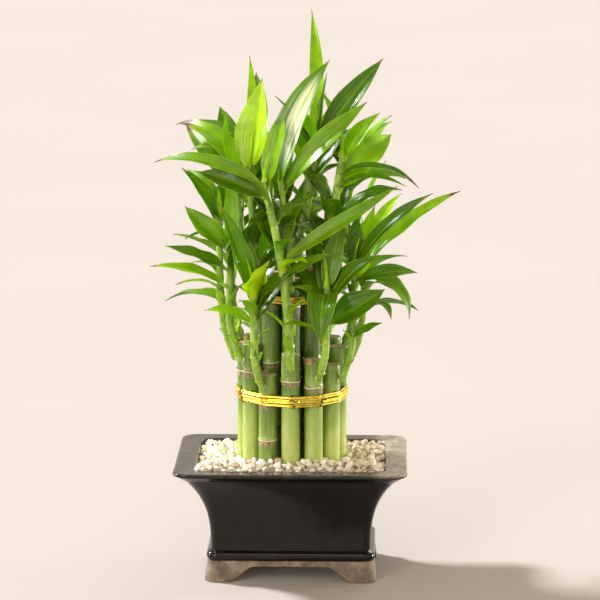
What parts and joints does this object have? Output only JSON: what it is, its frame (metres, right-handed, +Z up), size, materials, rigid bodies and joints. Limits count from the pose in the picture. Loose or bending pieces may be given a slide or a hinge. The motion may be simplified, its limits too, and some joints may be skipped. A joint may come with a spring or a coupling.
{
  "type": "potted lucky bamboo plant",
  "caption": "Three-tiered bundle of cut green canes with leafy side shoots, tied with gold wire, standing in marble chips in a black footed ceramic dish.",
  "frame": {"origin": "on the surface that the dish stands on, under the middle of the whole arrangement's box; the dish's middle is 9.5 mm to the left of it (-X) and 5 mm in front of it (-Y), because the leaves reach further to the right and back", "axes": "+Z up along the canes, +X to the right along the dish's long side, -Y towards the front"},
  "size_m": [0.1747, 0.1408, 0.3195],
  "materials": {
    "black_glaze": "glossy black glaze over brown stoneware, bare at the skirt and feet",
    "marble_chips": "loose white and cream marble chips, matt broken faces",
    "cane_green": "living green cane, smooth and waxy, with pale node rings and tan cut tops",
    "leaf_green": "leathery bright green leaves with a waxy shine",
    "gold_wire": "shiny gold-coloured tie wire"
  },
  "bodies": {
    "root": {"dish": "black_glaze", "gravel": "marble_chips", "lower_tie": "gold_wire", "upper_tie": "gold_wire", "cane_outer_01": "cane_green", "cane_outer_02": "cane_green", "cane_outer_03": "cane_green", "cane_outer_04": "cane_green", "cane_outer_05": "cane_green", "cane_outer_06": "cane_green", "cane_outer_07": "cane_green", "cane_outer_08": "cane_green", "cane_outer_09": "cane_green", "cane_outer_10": "cane_green", "cane_outer_11": "cane_green", "cane_outer_12": "cane_green", "cane_middle_01": "cane_green", "cane_middle_02": "cane_green", "cane_middle_03": "cane_green", "cane_middle_04": "cane_green", "cane_middle_05": "cane_green", "cane_middle_06": "cane_green", "cane_middle_07": "cane_green", "cane_inner_01": "cane_green", "cane_inner_02": "cane_green", "cane_inner_03": "cane_green", "shoot_outer_01": "leaf_green", "shoot_outer_02": "leaf_green", "shoot_outer_03": "leaf_green", "shoot_outer_04": "leaf_green", "shoot_outer_05": "leaf_green", "shoot_outer_06": "leaf_green", "shoot_outer_07": "leaf_green", "shoot_outer_08": "leaf_green", "shoot_outer_09": "leaf_green", "shoot_outer_10": "leaf_green", "shoot_outer_11": "leaf_green", "shoot_outer_12": "leaf_green", "shoot_middle_01": "leaf_green", "shoot_middle_02": "leaf_green", "shoot_middle_03": "leaf_green", "shoot_middle_04": "leaf_green", "shoot_middle_05": "leaf_green", "shoot_middle_06": "leaf_green", "shoot_middle_07": "leaf_green", "shoot_inner_01": "leaf_green", "shoot_inner_02": "leaf_green", "shoot_inner_03": "leaf_green"}
  },
  "joints": []
}
